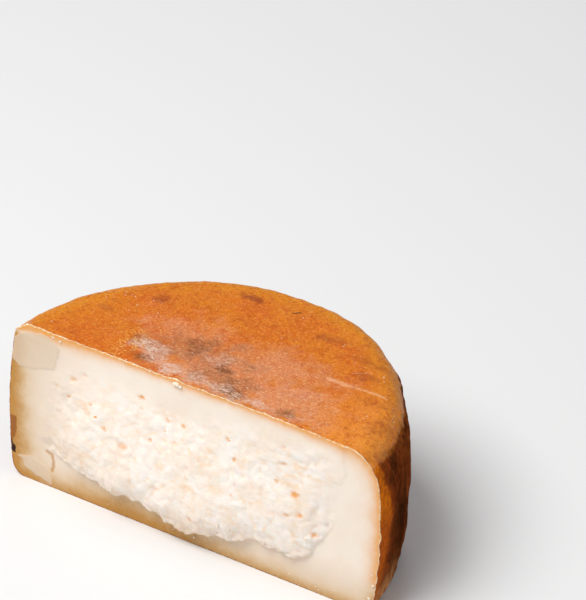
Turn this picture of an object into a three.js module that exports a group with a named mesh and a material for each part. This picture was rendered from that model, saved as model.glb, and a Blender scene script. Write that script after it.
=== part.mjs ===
// Half a wheel of aged pecorino, cut straight down through its middle, standing on its flat base.
// Units are millimetres and +Z is up. X runs along the cut, and the cut face looks along -Y.
// The origin is at the middle of the base, under the middle of the half wheel's bounding box.
import * as THREE from 'three';
import { ImprovedNoise } from 'three/addons/math/ImprovedNoise.js';
import { mergeVertices } from 'three/addons/utils/BufferGeometryUtils.js';

const { lerp, smoothstep } = THREE.MathUtils;

// The whole wheel.
const WHEEL_DIAMETER = 200;
const WHEEL_HEIGHT = 84;
const WIDEST_LEVEL = 37;
const SIDE_DRAW_IN = 3.3; // how far the side draws in, half a wheel height above its widest level
const RIGHT_END_SAG = 1.6; // how much lower the top lies at the right end of the cut

// The rounded edges of the wheel, as how far each reaches in from the side and down or up it.
const TOP_EDGE_RIGHT = { inward: 13, along: 14 };
const TOP_EDGE_BACK = { inward: 8, along: 8 };
const TOP_EDGE_LEFT = { inward: 9, along: 8 };
const BASE_EDGE = { inward: 6, along: 6 };

// Hand-made unevenness: the wheel is a little out of round, and its rind is lumpy. The lumps of the
// side start at the cut and have their full height at the given share of the way round to the back.
const OUT_OF_ROUND = { height: 0.7, lobes: 3, turn: 3.4 };
const SIDE_LUMP = { height: 0.9, width: 16, start: 0.2 };
const TOP_LUMP = { height: 0.6, width: 26 };

// The torn paste that stands out of the cut: a mass with a steep lower lip. Each place on the lip
// is where it runs across the cut and how far the paste stands out there.
const LIP = [
  { across: -86, level: 27, proud: 0 },
  { across: -74, level: 15, proud: 3.2 },
  { across: -60, level: 9, proud: 5.5 },
  { across: -40, level: 8, proud: 6.4 },
  { across: -20, level: 11, proud: 6.2 },
  { across: 2, level: 6.5, proud: 7.0 },
  { across: 18, level: 14, proud: 6.4 },
  { across: 36, level: 18.5, proud: 4.8 },
  { across: 60, level: 18, proud: 3.4 },
  { across: 78, level: 30, proud: 0 },
];
const LIP_DROP = 4; // height of the steep face under the lip
const LIP_BROW = 6; // height above the lip at which the mass starts to ease off
const TORN_TOP = 74; // level at which the torn paste has run out into the plain cut
const CRAG = { height: 1.6, width: 17, stretch: 1.3 };
const CRAG_MARGIN = 18; // the crags reach their full height this far from the rind

// Steps of the surface grid along the cut, from the cut to the back, and up, and how much each of
// the first two crowds towards the rind.
const STEPS = { along: 56, deep: 16, up: 26 };
const CROWDING = { along: 0.2, deep: 0.45 };

const WHEEL_RADIUS = WHEEL_DIAMETER / 2;
const HALF_HEIGHT = WHEEL_HEIGHT / 2;

// Smooth noise in two sizes, the finer one of less height, with a gain that makes it -1 to 1.
const NOISE = { gain: 1.4, finer: 2.3, share: 0.4 };
const noise = new ImprovedNoise();

// Lumps of about the given width, -1 to 1 high.
function lumps(x, y, z, width) {
  const fine = width / NOISE.finer;
  const broadLump = noise.noise(x / width, y / width, z / width);
  const fineLump = noise.noise(x / fine, y / fine, z / fine);
  return NOISE.gain * (broadLump + NOISE.share * fineLump);
}

// Moves even steps, -1 to 1, towards both ends.
function crowd(step, amount) {
  return step * (1 + amount) - amount * step ** 3;
}

// Maps the half square, a -1 to 1 and b 0 to 1, onto a half disc: its shells become half rings.
function shellToRing(a, b) {
  const reach = Math.max(Math.abs(a), b);
  if (reach === 0) {
    return { reach: 0, angle: 0 };
  }
  const share = b <= Math.abs(a) ? b / Math.abs(a) : 2 - Math.abs(a) / b;
  const angle = share * Math.PI / 4;
  return { reach, angle: a < 0 ? Math.PI - angle : angle };
}

// Radius of the side at an angle around the wheel and a height on it. The lumps stay inside the
// wheel's round, and they and the lobes die away towards the cut.
function sideRadius(angle, height) {
  const fromWidest = (height - WIDEST_LEVEL) / HALF_HEIGHT;
  const x = WHEEL_RADIUS * Math.cos(angle);
  const y = WHEEL_RADIUS * Math.sin(angle);
  const behind = Math.sin(angle);
  const lobe = OUT_OF_ROUND.height * Math.sin(OUT_OF_ROUND.lobes * angle + OUT_OF_ROUND.turn) * behind;
  const dent = SIDE_LUMP.height * (1 - lumps(x, y, height, SIDE_LUMP.width));
  const drawIn = SIDE_DRAW_IN * fromWidest ** 2 + dent * smoothstep(behind, 0, SIDE_LUMP.start);
  return WHEEL_RADIUS - drawIn + lobe;
}

// Size of the rounded top edge at an angle around the wheel: right end, back, left end.
function topEdge(angle) {
  const end = Math.cos(angle) > 0 ? TOP_EDGE_RIGHT : TOP_EDGE_LEFT;
  const share = Math.cos(angle) ** 2;
  return {
    inward: lerp(TOP_EDGE_BACK.inward, end.inward, share),
    along: lerp(TOP_EDGE_BACK.along, end.along, share),
  };
}

// Rounds the edge between the side and a flat that lies depth away: what is past the edge's inner
// corner, in the square up to the side and the flat, is drawn into a quarter ellipse.
function roundEdge(radius, depth, rim, edge) {
  const past = { inward: (radius - rim) / edge.inward + 1, along: 1 - depth / edge.along };
  if (past.inward <= 0 || past.along <= 0) {
    return { radius, depth };
  }
  const ring = shellToRing(past.inward, past.along);
  return {
    radius: rim - edge.inward * (1 - ring.reach * Math.cos(ring.angle)),
    depth: edge.along * (1 - ring.reach * Math.sin(ring.angle)),
  };
}

// How far the top is raised or lowered at a place on it.
function topUnevenness(x, y) {
  const sag = RIGHT_END_SAG * smoothstep(x, WHEEL_RADIUS / 2, WHEEL_RADIUS);
  return TOP_LUMP.height * lumps(x, y, 0, TOP_LUMP.width) - sag;
}

// Places a point of the block, x -1 to 1, y 0 to 1 and z 0 to 1, in the half wheel.
function wheelPoint(x, y, z) {
  const ring = shellToRing(crowd(x, CROWDING.along), crowd(y, CROWDING.deep));
  const level = z * WHEEL_HEIGHT;
  const rim = sideRadius(ring.angle, level);
  const top = roundEdge(ring.reach * rim, WHEEL_HEIGHT - level, rim, topEdge(ring.angle));
  const base = roundEdge(ring.reach * rim, level, rim, BASE_EDGE);
  const isUpper = level > HALF_HEIGHT;
  const radius = isUpper ? top.radius : base.radius;
  const height = isUpper ? WHEEL_HEIGHT - top.depth : base.depth;
  const point = new THREE.Vector3(radius * Math.cos(ring.angle), radius * Math.sin(ring.angle), height);
  point.z += topUnevenness(point.x, point.y) * smoothstep(height, HALF_HEIGHT, WHEEL_HEIGHT);
  return point;
}

// Level of the lip and how far it stands out, at a place across the cut.
function lipAt(across) {
  const next = LIP.findIndex((place) => place.across >= across);
  const from = LIP[next - 1];
  const to = LIP[next];
  const share = smoothstep(across, from.across, to.across);
  return { level: lerp(from.level, to.level, share), proud: lerp(from.proud, to.proud, share) };
}

// How far the torn mass stands out of the cut: steep under the lip, easing off above it.
function massRelief(across, level) {
  if (across <= LIP[0].across || across >= LIP[LIP.length - 1].across) {
    return 0;
  }
  const lip = lipAt(across);
  const climb = smoothstep(level, lip.level - LIP_DROP, lip.level);
  const fade = 1 - smoothstep(level, lip.level + LIP_BROW, TORN_TOP);
  return lip.proud * climb * fade;
}

// Crags of the torn paste, wider than high, fading out towards the rind all round.
function cragRelief(across, level) {
  const fromRind = Math.min(WHEEL_RADIUS - Math.abs(across), WHEEL_HEIGHT - level, level);
  const share = smoothstep(fromRind, 0, CRAG_MARGIN);
  return CRAG.height * lumps(across / CRAG.stretch, 0, level, CRAG.width) * share;
}

// Bends a block's surface into the half wheel and raises the torn paste on its cut face.
function halfWheelGeometry() {
  const block = new THREE.BoxGeometry(2, 1, 1, STEPS.along, STEPS.deep, STEPS.up);
  block.translate(0, 0.5, 0.5);
  block.deleteAttribute('normal');
  block.deleteAttribute('uv');
  const geometry = mergeVertices(block);
  const position = geometry.attributes.position;
  for (let i = 0; i < position.count; i += 1) {
    const point = wheelPoint(position.getX(i), position.getY(i), position.getZ(i));
    if (position.getY(i) === 0) {
      point.y -= massRelief(point.x, point.z) + cragRelief(point.x, point.z);
    }
    position.setXYZ(i, point.x, point.y, point.z);
  }
  return geometry;
}

// Moves a geometry so that the middle of the bottom of its bounding box is the origin.
function standOnOrigin(geometry) {
  geometry.computeBoundingBox();
  const middle = geometry.boundingBox.getCenter(new THREE.Vector3());
  geometry.translate(-middle.x, -middle.y, -geometry.boundingBox.min.z);
  geometry.computeVertexNormals();
  return geometry;
}

const cheese = new THREE.MeshStandardMaterial({ color: 0xc07a3c, roughness: 0.55, metalness: 0 });

const group = new THREE.Group();
const half = new THREE.Mesh(standOnOrigin(halfWheelGeometry()), cheese);
half.name = 'pecorino_half';
group.add(half);

export default group;
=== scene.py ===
import math

import bpy
import numpy as np
from bpy.props import FloatProperty, FloatVectorProperty, IntProperty, PointerProperty
from mathutils import Matrix, Vector


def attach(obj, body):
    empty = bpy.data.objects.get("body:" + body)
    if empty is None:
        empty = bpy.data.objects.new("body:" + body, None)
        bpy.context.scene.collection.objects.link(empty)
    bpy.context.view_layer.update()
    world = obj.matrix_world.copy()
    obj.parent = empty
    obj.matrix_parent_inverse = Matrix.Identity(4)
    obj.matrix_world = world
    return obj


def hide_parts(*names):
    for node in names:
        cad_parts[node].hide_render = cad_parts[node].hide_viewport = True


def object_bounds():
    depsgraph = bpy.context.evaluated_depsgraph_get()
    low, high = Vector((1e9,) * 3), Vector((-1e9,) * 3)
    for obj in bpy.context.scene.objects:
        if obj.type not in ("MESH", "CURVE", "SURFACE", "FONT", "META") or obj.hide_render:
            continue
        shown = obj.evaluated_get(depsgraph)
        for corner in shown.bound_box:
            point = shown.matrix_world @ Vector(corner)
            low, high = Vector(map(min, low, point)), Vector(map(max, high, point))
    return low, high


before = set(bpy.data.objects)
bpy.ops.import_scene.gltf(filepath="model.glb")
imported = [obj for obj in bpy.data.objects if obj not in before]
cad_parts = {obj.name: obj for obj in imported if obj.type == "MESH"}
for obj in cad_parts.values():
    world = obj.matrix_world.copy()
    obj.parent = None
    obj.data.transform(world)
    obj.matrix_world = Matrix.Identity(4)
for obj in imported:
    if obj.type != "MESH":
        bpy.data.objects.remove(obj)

bl_info = {
    "name": "Pecorino half wheel",
    "version": (1, 0, 0),
    "blender": (4, 5, 0),
    "location": "3D View > Sidebar > Pecorino",
    "description": "Builds half a wheel of aged pecorino with its rind, cut face, crumbs and studio",
    "category": "Mesh",
}

NODE = "pecorino_half"
BODY = "root"
CAD_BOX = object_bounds()
MM = 0.001

# Shapes are worked out in millimetres in the wheel's own frame: the cut is the plane y = 0, the
# wheel's axis is x = y = 0, and the base is z = 0. Places on the cut are given as across and level.
WIDEST_LEVEL = 37
SIDE_DRAW_IN = 3.3  # how far the side draws in, half a wheel height above its widest level
RIGHT_END_SAG = 1.6  # how much lower the top lies at the right end of the cut

# The rounded edges of the wheel, as how far each reaches in from the side and down or up it.
TOP_EDGE_RIGHT = (13, 14)
TOP_EDGE_BACK = (8, 8)
TOP_EDGE_LEFT = (9, 8)
BASE_EDGE = (6, 6)

# Hand-made unevenness: how far the wheel is out of round, in how many lobes, and their turn.
OUT_OF_ROUND, LOBES, LOBE_TURN = 0.7, 3, 3.4

# Each noise and each random draw has its own seed.
SEEDS = {
    "broad crags": 11, "fine crags": 12, "curds": 13, "broad rind": 21, "fine rind": 22,
    "rind marks": 31, "cut marks": 41, "edge": 51,
    "crumb places": 61, "crumb shapes": 62, "crumb roughness": 63,
}

# The lip of the torn mass: place across the cut, level, and how far it stands out there.
LIP = np.array([
    (-86, 30, 0),
    (-77, 22, 1.2),
    (-66, 19, 3.0),
    (-54, 18, 5.0),
    (-42, 16, 6.2),
    (-24, 17, 6.4),
    (-8, 11.8, 6.8),
    (2, 10.5, 7.0),
    (10, 14, 6.8),
    (22, 15.5, 6.0),
    (36, 19, 4.6),
    (56, 17.5, 3.6),
    (64, 22, 2.4),
    (69, 30, 1.0),
    (78, 46, 0),
])
LIP_DROP = 2.6  # height of the steep step at the lip
LIP_BROW = 8  # height above the lip at which the mass starts to ease off
LIP_HANG = 4.8  # how far the lip hangs down where it stands out most
HANG_REACH = 7  # how far above and below the lip the paste is drawn down with it
BULGE = 0.35  # share of the mass's height that it gains only above the lip
TORN_TOP = 74  # level at which the mass has run out into the plain cut

# Noise that bends the mass: how far it moves the levels and the lip, and the width of each.
LEVEL_BEND, LEVEL_BEND_WIDTH = 1.3, 7
LIP_BEND, LIP_BEND_WIDTH = 2.0, 9

# Where the torn paste goes over into the smooth cut: from-to places at the left and the right, and
# from-to levels under the top, with how much each of these climbs along the cut.
TORN_LEFT, TORN_RIGHT = (-88, -66), (66, 82)
TORN_UNDER_TOP, TORN_CLIMB = (58, 76), (0.09, 0.06)
TORN_WOBBLE, TORN_WOBBLE_WIDTH = 5, 16

# Relief of the torn paste. Puffs are given as width and height, and they swell near the lip.
PUFFS = ((13, 0.4), (6, 0.4), (3, 0.18))
PUFF_FLOOR = 0.5
SWELL, SWELL_REACH = 1.6, 6
LUMP_WIDTH, LUMP_HEIGHT = 20, 0.7
CURD_WIDTH, CURD_HEIGHT = 2.6, 0.09
ROUGH_WIDTH, ROUGH_HEIGHT = 4, 0.1
CRAG_SQUEEZE = 0.9  # crags are wider than high by this
CRAG_BEND, CRAG_BEND_WIDTH = 1.2, 5

# Thin pale flakes left by the knife: corners of their outlines on the cut.
FLAKE_TOP_LEFT = [
    (-99, 72), (-94, 79), (-81, 82), (-76, 80), (-72, 77), (-75, 65), (-87, 61), (-94, 60), (-99, 63),
]
FLAKE_BASE_LEFT = [(-96, 11), (-92, 9), (-92, 6), (-76, 1), (-77, 8), (-79, 10), (-88, 13)]
FLAKE_RIGHT = [(40, 90), (80, 90), (80, 75), (81, 68), (78, 62), (66, 64), (52, 68), (40, 74)]
FLAKE_HEIGHT = 0.25

# Damage at the left edge: a brown patch and a dark chip, as outlines, and a crack, as joined points.
BROWN_PATCH = [(-103, 31), (-96, 32), (-96, 24), (-98, 18), (-103, 17)]
CHIP = [(-101, 18), (-99, 18), (-97, 14), (-97, 11), (-101, 13)]
CRACK = [(-79, 19), (-76, 18), (-75, 13), (-76, 9)]
CRACK_DEPTH, CHIP_DEPTH = 0.25, 1.1

# The larger pits of the paste: across, level, half width and how strongly they are tinted, the tint
# being partly their own tan and partly painted shade in them.
PITS = np.array([
    (-64, 64, 2.6, 0.6), (-58, 68, 2.2, 0.5), (-73, 57, 1.3, 0.8), (-67, 54, 1.7, 0.8), (-54, 55, 1.4, 0.7),
    (-50, 50, 0.9, 1.6), (-45, 46, 1.9, 0.8), (-72, 44, 1.8, 0.5), (-27, 68, 2.3, 1.0), (-26, 63, 1.1, 0.8),
    (-12, 62, 2.7, 0.7), (-4, 62, 1.8, 0.9), (-13, 56, 1.4, 0.8), (-20, 49, 1.5, 0.9), (-7, 52, 1.4, 0.7),
    (-34, 41, 3.2, 0.7), (20, 64, 1.7, 0.9), (24, 55, 1.4, 0.9), (49, 71, 1.2, 0.7), (49, 62, 1.8, 0.7),
    (46, 52, 1.5, 0.8), (56, 49, 2.8, 1.0), (53, 38, 1.6, 0.8), (60, 40, 2.3, 0.9), (4, 19, 1.5, 0.9),
    (-15, 27, 1.9, 0.5), (67, 32, 2.4, 0.8), (25, 38, 1.9, 0.6),
])
PIT_DEPTH = 0.5
PIT_FLATNESS = 0.62  # height of a pit against its width
PIT_STEEPNESS = 1.2

# Noise that bends the pits: how far across and up, the fraying of their edges, and the widths.
PIT_BEND, PIT_RISE, PIT_BEND_WIDTH = 1.3, 0.9, 2.2
PIT_FRAY, PIT_FRAY_WIDTH = 0.5, 0.9

# The margins where the paste darkens towards the rind. Widths: tan along the base, more of it under
# the lip, where it is painted shade, at the left end and low on it, and peach along the top and at
# the ends. The painted shade under the lip has its middle and reach across the cut.
TAN_BASE, LIP_SHADE_WIDTH, TAN_LEFT, TAN_LOW_LEFT = 8.5, 5, 10, 14
PEACH_TOP, PEACH_ENDS = 3.2, 6.0
LIP_SHADE_MIDDLE, LIP_SHADE_REACH = -32, 36

# From-to places, out from the middle and up, at which the parts of the margins come in or go out.
LEFT_END, RIGHT_END, PEACH_LEFT_END, DULL_LEFT_END = (60, 92), (55, 92), (40, 80), (40, 84)
LEFT_END_TOP, LOW_LEFT_IN, LOW_LEFT_OUT, DULL_BASE = (76, 81), (4, 14), (30, 44), (8, 26)

# The grid: how fine its steps are at the ends of each side, within how many lines, how many lines
# of the base stay quads at each end and at the back, and how each column of the cut is measured.
FINE_STEP, FINE_LINES = 0.4, 4
BASE_MARGIN = (24, 14)
COLUMN_POINTS = 500
COLUMN_GAP = 1000  # more than the length of any column
BATCH = 4000  # spots that are compared at once

FAR = 99.0  # a distance larger than any that matters


# ---------------------------------------------------------------- noise


class Noise:
    """Seeded gradient noise, smooth and about -1 to 1, for whole arrays of points."""

    COUNT = 256  # how many numbers the cells share, a power of two
    GAIN = 1.7  # brings smooth noise to about -1 to 1
    PUFF_GAIN = 1.6
    LAYER_SHIFT = 17.3  # keeps the cells of the layers apart

    def __init__(self, seed):
        random = np.random.default_rng(SEEDS[seed])
        self.order = random.permutation(self.COUNT)
        slopes = random.normal(size=(self.COUNT, 3))
        self.slopes = slopes / np.linalg.norm(slopes, axis=1, keepdims=True)
        self.spots = random.random((self.COUNT, 3))

    def number(self, cell):
        """A number 0 to COUNT - 1 that belongs to each whole-number cell."""
        last = self.COUNT - 1
        x, y, z = (cell & last).T
        return self.order[(self.order[(self.order[x] + y) & last] + z) & last]

    def smooth(self, points):
        """Slopes at the corners of each point's cell, blended by how near the corners are."""
        cell = np.floor(points).astype(int)
        part = points - cell
        ease = part**3 * (part * (part * 6 - 15) + 10)
        total = np.zeros(len(points))
        for corner in np.ndindex(2, 2, 2):
            share = np.prod(np.where(corner, ease, 1 - ease), axis=1)
            total += share * ((part - corner) * self.slopes[self.number(cell + corner)]).sum(1)
        return self.GAIN * total

    def layers(self, points, width, count=3, fade=0.5):
        """Smooth noise of the given width plus layers of half the width and less height each."""
        total = np.zeros(len(points))
        for layer in range(count):
            scale = 2**layer / width
            total += fade**layer * self.smooth(points * scale + self.LAYER_SHIFT * layer)
        return total

    def puffs(self, points, width):
        """Rounded puffs with narrow creases between: smooth noise folded at zero, 0 to 1."""
        return np.minimum(np.abs(self.smooth(points / width)) * self.PUFF_GAIN, 1)

    def cells(self, points):
        """Distance from each point to the nearest of one spot scattered in each cell."""
        cell = np.floor(points).astype(int)
        nearest = np.full(len(points), FAR)
        for move in np.ndindex(3, 3, 3):
            other = cell + move - 1
            gap = np.linalg.norm(other + self.spots[self.number(other)] - points, axis=1)
            nearest = np.minimum(nearest, gap)
        return nearest


def step(value, low, high):
    """0 below low and 1 above high, with a smooth S between."""
    share = np.clip((value - low) / (high - low), 0, 1)
    return share * share * (3 - 2 * share)


def mix(low, high, share):
    """Low, going straight to high as share goes to 1."""
    return low + (high - low) * share


def bell(away, reach):
    """1 where away is 0, falling off like a bell to a good third at the reach, on both sides."""
    return np.exp(-((away / reach) ** 2))


def on_cut(across, level):
    """Points of the cut plane."""
    return np.stack([across, np.zeros_like(across), level], 1)


def line_distance(x, z, start, end):
    """Distance to a straight stretch."""
    run = np.subtract(end, start)
    along = np.clip(((x - start[0]) * run[0] + (z - start[1]) * run[1]) / (run @ run), 0, 1)
    return np.hypot(x - start[0] - along * run[0], z - start[1] - along * run[1])


def outline_distance(x, z, corners):
    """Distance to a closed outline of straight sides, positive inside it."""
    nearest = np.full(x.shape, np.inf)
    inside = np.zeros(x.shape, bool)
    for start, end in zip(corners, np.roll(corners, -1, axis=0)):
        nearest = np.minimum(nearest, line_distance(x, z, start, end))
        rise = end[1] - start[1]
        if rise:
            crosses = (start[1] > z) != (end[1] > z)
            inside ^= crosses & (x < start[0] + (z - start[1]) * (end[0] - start[0]) / rise)
    return np.where(inside, nearest, -nearest)


# ---------------------------------------------------------------- the wheel's surface


def graded(count):
    """Places 0 to 1 of count + 1 grid lines, whose steps shrink towards both ends."""
    middle = np.arange(count) + 0.5
    from_end = np.minimum(middle, count - middle)
    steps = 1 - (1 - FINE_STEP) * np.exp(-from_end / FINE_LINES)
    return np.concatenate([[0], np.cumsum(steps)]) / steps.sum()


def shell_to_ring(a, b):
    """Maps the half square, a -1 to 1 and b 0 to 1, onto a half disc: shells become half rings."""
    wide = np.abs(a)
    reach = np.maximum(wide, b)
    safe_wide = np.where(wide > 0, wide, 1)
    safe_b = np.where(b > 0, b, 1)
    share = np.where(b <= wide, b / safe_wide, 2 - wide / safe_b)
    angle = share * np.pi / 4
    return reach, np.where(a < 0, np.pi - angle, angle)


class Wheel:
    """The plain form of the half wheel, in millimetres."""

    def __init__(self, diameter, height):
        self.radius = diameter / 2
        self.height = height

    def rim(self, angle, level):
        """Radius of the side: it draws in with the square of the distance from its widest level,
        and a sine of the angle puts it a little out of round behind the cut."""
        from_widest = (level - WIDEST_LEVEL) / (self.height / 2)
        lobe = OUT_OF_ROUND * np.sin(LOBES * angle + LOBE_TURN) * np.sin(angle)
        return self.radius - SIDE_DRAW_IN * from_widest**2 + lobe

    def top_edge(self, angle):
        """Reach of the rounded top edge inward and down: the back's, blended to each end's."""
        share = np.cos(angle) ** 2
        right = np.cos(angle) > 0
        inward = np.where(right, TOP_EDGE_RIGHT[0], TOP_EDGE_LEFT[0])
        along = np.where(right, TOP_EDGE_RIGHT[1], TOP_EDGE_LEFT[1])
        return mix(TOP_EDGE_BACK[0], inward, share), mix(TOP_EDGE_BACK[1], along, share)

    def sag(self, x):
        """How much lower the top lies, which sinks towards the right end of the cut."""
        return RIGHT_END_SAG * step(x, self.radius / 2, self.radius)

    @staticmethod
    def round_edge(radius, depth, rim, inward, along):
        """What lies past the edge's inner corner, in the square up to the side and the flat, is
        drawn into a quarter ellipse."""
        past_in = (radius - rim) / inward + 1
        past_along = 1 - depth / along
        past = (past_in > 0) & (past_along > 0)
        reach, angle = shell_to_ring(np.maximum(past_in, 0), np.maximum(past_along, 0))
        return (
            np.where(past, rim - inward * (1 - reach * np.cos(angle)), radius),
            np.where(past, along * (1 - reach * np.sin(angle)), depth),
        )

    def place(self, x, y, level):
        """Places of block points, x -1 to 1 and y 0 to 1, at their levels: squares of the block
        become rings of the wheel, and its edges are rounded."""
        reach, angle = shell_to_ring(x, y)
        rim = self.rim(angle, level)
        top_radius, top_depth = self.round_edge(reach * rim, self.height - level, rim, *self.top_edge(angle))
        base_radius, base_depth = self.round_edge(reach * rim, level, rim, *BASE_EDGE)
        upper = level > self.height / 2
        radius = np.where(upper, top_radius, base_radius)
        height = np.where(upper, self.height - top_depth, base_depth)
        spot = np.stack([radius * np.cos(angle), radius * np.sin(angle), height], 1)
        spot[:, 2] -= self.sag(spot[:, 0]) * step(height, self.height / 2, self.height)
        return spot


# ---------------------------------------------------------------- the cut face


class CutFace:
    """Relief of the cut: the torn mass of paste with its hanging lip, its crags and its pits."""

    def __init__(self, wheel, settings):
        self.wheel = wheel
        self.settings = settings
        self.broad = Noise("broad crags")
        self.fine = Noise("fine crags")
        self.curd = Noise("curds")

    def lip(self, across):
        """Level of the lip and how far it stands out: the table joined by smooth steps."""
        next_one = np.clip(np.searchsorted(LIP[:, 0], across), 1, len(LIP) - 1)
        low, high = LIP[next_one - 1], LIP[next_one]
        share = step(across, low[:, 0], high[:, 0])
        level = mix(low[:, 1], high[:, 1], share)
        proud = mix(low[:, 2], high[:, 2], share)
        between = (across > LIP[0, 0]) & (across < LIP[-1, 0])
        return level, np.where(between, proud, 0) * self.settings.torn_height

    def mass(self, across, level):
        """How far the mass stands out and how far it hangs down: a steep step at the lip, a bulge
        above it that eases off, pulled down near the lip so that it overhangs. Noise bends it."""
        spots = on_cut(across, level)
        bent = level + LEVEL_BEND * self.fine.layers(spots, LEVEL_BEND_WIDTH, 4, 0.65)
        moved = across + LIP_BEND * self.broad.layers(spots + 50, LIP_BEND_WIDTH, 2)
        lip_level, proud = self.lip(moved)
        climb = (1 - BULGE) * step(bent, lip_level - LIP_DROP, lip_level)
        climb += BULGE * step(bent, lip_level - 1, lip_level + LIP_BROW)
        fade = 1 - step(bent, lip_level + LIP_BROW, TORN_TOP)
        near = bell(bent - lip_level, HANG_REACH)
        hang = LIP_HANG * (proud / LIP[:, 2].max()) * climb * near
        return proud * climb * fade, hang

    def torn(self, across, level):
        """1 on the torn paste, 0 on the smooth cut round it."""
        wobble = TORN_WOBBLE * self.broad.layers(on_cut(across, level), TORN_WOBBLE_WIDTH)
        above = step(level - self.lip(across)[0], -LIP_DROP, 1)
        fade_from, fade_to = (start + climb * across for start, climb in zip(TORN_UNDER_TOP, TORN_CLIMB))
        under_top = 1 - step(level + wobble, fade_from, fade_to)
        left = step(across + wobble, *TORN_LEFT)
        right = 1 - step(across + wobble, *TORN_RIGHT)
        return above * under_top * left * right

    def rows(self, block_x, levels):
        """Levels of the grid's rows, column by column, so that they lie evenly along the bent
        profile of the mass: each column's profile is measured and shared out by length."""
        dense = np.linspace(0, self.wheel.height, COLUMN_POINTS)
        across, level = np.meshgrid(block_x * self.wheel.radius, dense, indexing="ij")
        proud, hang = self.mass(across.ravel(), level.ravel())
        proud, hang = proud.reshape(across.shape), hang.reshape(across.shape)
        pieces = np.hypot(np.diff(proud, axis=1), np.diff(level - hang, axis=1))
        length = np.concatenate([np.zeros((len(block_x), 1)), np.cumsum(pieces, axis=1)], axis=1)
        wanted = levels / self.wheel.height * length[:, -1:]
        apart = COLUMN_GAP * np.arange(len(block_x))[:, None]
        found = np.interp((wanted + apart).ravel(), (length + apart).ravel(), level.ravel())
        return found.reshape(wanted.shape)

    def crags(self, spots):
        """Relief of the torn paste: broad lumps, puffs in three sizes that swell near the lip, small
        curds and rough grain, all a little wider than high. Returns the height and how much each
        point lies in a crease."""
        flat = spots * (CRAG_SQUEEZE, 0, 1)
        place = flat / CRAG_BEND_WIDTH
        shift = on_cut(self.fine.smooth(place), self.fine.smooth(place + 40))
        bent = flat + CRAG_BEND * shift
        puffs = [self.broad.puffs(bent + 7 * width, width) for width, _ in PUFFS]
        swell = 1 + SWELL * bell(spots[:, 2] - self.lip(spots[:, 0])[0], SWELL_REACH)
        height = swell * (sum(high * puff for (_, high), puff in zip(PUFFS, puffs)) - PUFF_FLOOR)
        height += LUMP_HEIGHT * self.broad.layers(flat, LUMP_WIDTH, 2)
        height += CURD_HEIGHT * (1 - 1.5 * self.curd.cells(bent / CURD_WIDTH))
        height += ROUGH_HEIGHT * self.fine.layers(bent, ROUGH_WIDTH)
        crease = np.maximum(1 - step(puffs[0], 0, 0.2), 0.8 * (1 - step(puffs[1], 0, 0.2)))
        return self.settings.crag_height * height, crease

    def pits(self, across, level):
        """Round-bottomed pits at the listed places, wider than high, their outlines bent by noise:
        how deep, 0 to 1, and how strongly tinted, partly with their own tan and partly with painted
        shade."""
        spots = on_cut(across, level)
        x = across + PIT_BEND * self.fine.smooth(spots / PIT_BEND_WIDTH)
        x += PIT_FRAY * self.fine.smooth(spots / PIT_FRAY_WIDTH)
        z = level + PIT_RISE * self.fine.smooth(spots / PIT_BEND_WIDTH + 20)
        deep, pit_tint_and_shade = np.zeros(len(across)), np.zeros(len(across))
        for pit_x, pit_z, width, strength in PITS:
            pit = (bell(x - pit_x, width) * bell(z - pit_z, PIT_FLATNESS * width)) ** PIT_STEEPNESS
            deep = np.maximum(deep, pit)
            pit_tint_and_shade = np.maximum(pit_tint_and_shade, strength * pit)
        return deep, pit_tint_and_shade


# ---------------------------------------------------------------- meshes


def block_surface(counts):
    """Numbers of the vertices on a block's surface, -1 inside it, and each one's grid place."""
    i, j, k = np.indices([count + 1 for count in counts])
    on = (i % counts[0] == 0) | (j % counts[1] == 0) | (k % counts[2] == 0)
    numbers = np.full(on.shape, -1)
    numbers[on] = np.arange(on.sum())
    return numbers, np.stack([i[on], j[on], k[on]], 1)


def side_quads(numbers):
    """Quads of one side's grid, wound from its first axis to its second."""
    corners = [numbers[:-1, :-1], numbers[1:, :-1], numbers[1:, 1:], numbers[:-1, 1:]]
    return np.stack(corners, -1).reshape(-1, 4)


def base_faces(numbers, margin):
    """Faces of the base: quads in a band inside its rim, and one flat face in the middle."""
    count_x, count_y = numbers.shape[0] - 1, numbers.shape[1] - 1
    i, j = np.indices((count_x, count_y))
    band = (i < margin[0]) | (i >= count_x - margin[0]) | (j >= count_y - margin[1])
    quads = side_quads(numbers)[:, ::-1][band.ravel()]
    left, right, back = margin[0], count_x - margin[0], count_y - margin[1]
    middle = np.concatenate([
        numbers[left, :back],
        numbers[left:right, back],
        numbers[right, back:0:-1],
        numbers[right:left:-1, 0],
    ])
    return quads, middle


def outward(spots, quads):
    """Unit normals of the vertices, from the cross products of the quads' diagonals."""
    cross = np.cross(spots[quads[:, 2]] - spots[quads[:, 0]], spots[quads[:, 3]] - spots[quads[:, 1]])
    total = np.zeros_like(spots)
    for corner in range(4):
        for axis in range(3):
            total[:, axis] += np.bincount(quads[:, corner], cross[:, axis], len(spots))
    return total / np.maximum(np.linalg.norm(total, axis=1, keepdims=True), 1e-12)


def nearest_of(spots, places):
    """For each spot, the number of the nearest of the places, both seen square on to the cut."""
    found = np.zeros(len(spots), int)
    for start in range(0, len(spots), BATCH):
        part = spots[start : start + BATCH, None, ::2] - places[None, :, ::2]
        found[start : start + BATCH] = (part**2).sum(2).argmin(1)
    return found


def cut_plane():
    """Where the cut plane lies in the frame: the front edge of the flat base, in metres."""
    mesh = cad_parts[NODE].data
    spots = np.zeros(3 * len(mesh.vertices))
    mesh.vertices.foreach_get("co", spots)
    spots = spots.reshape(-1, 3)
    return spots[spots[:, 2] < 1e-5][:, 1].min()


def to_frame(spots):
    """Moves wheel places in millimetres to the shared frame in metres."""
    return spots * MM + np.array([0, cut_plane(), 0])


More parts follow.
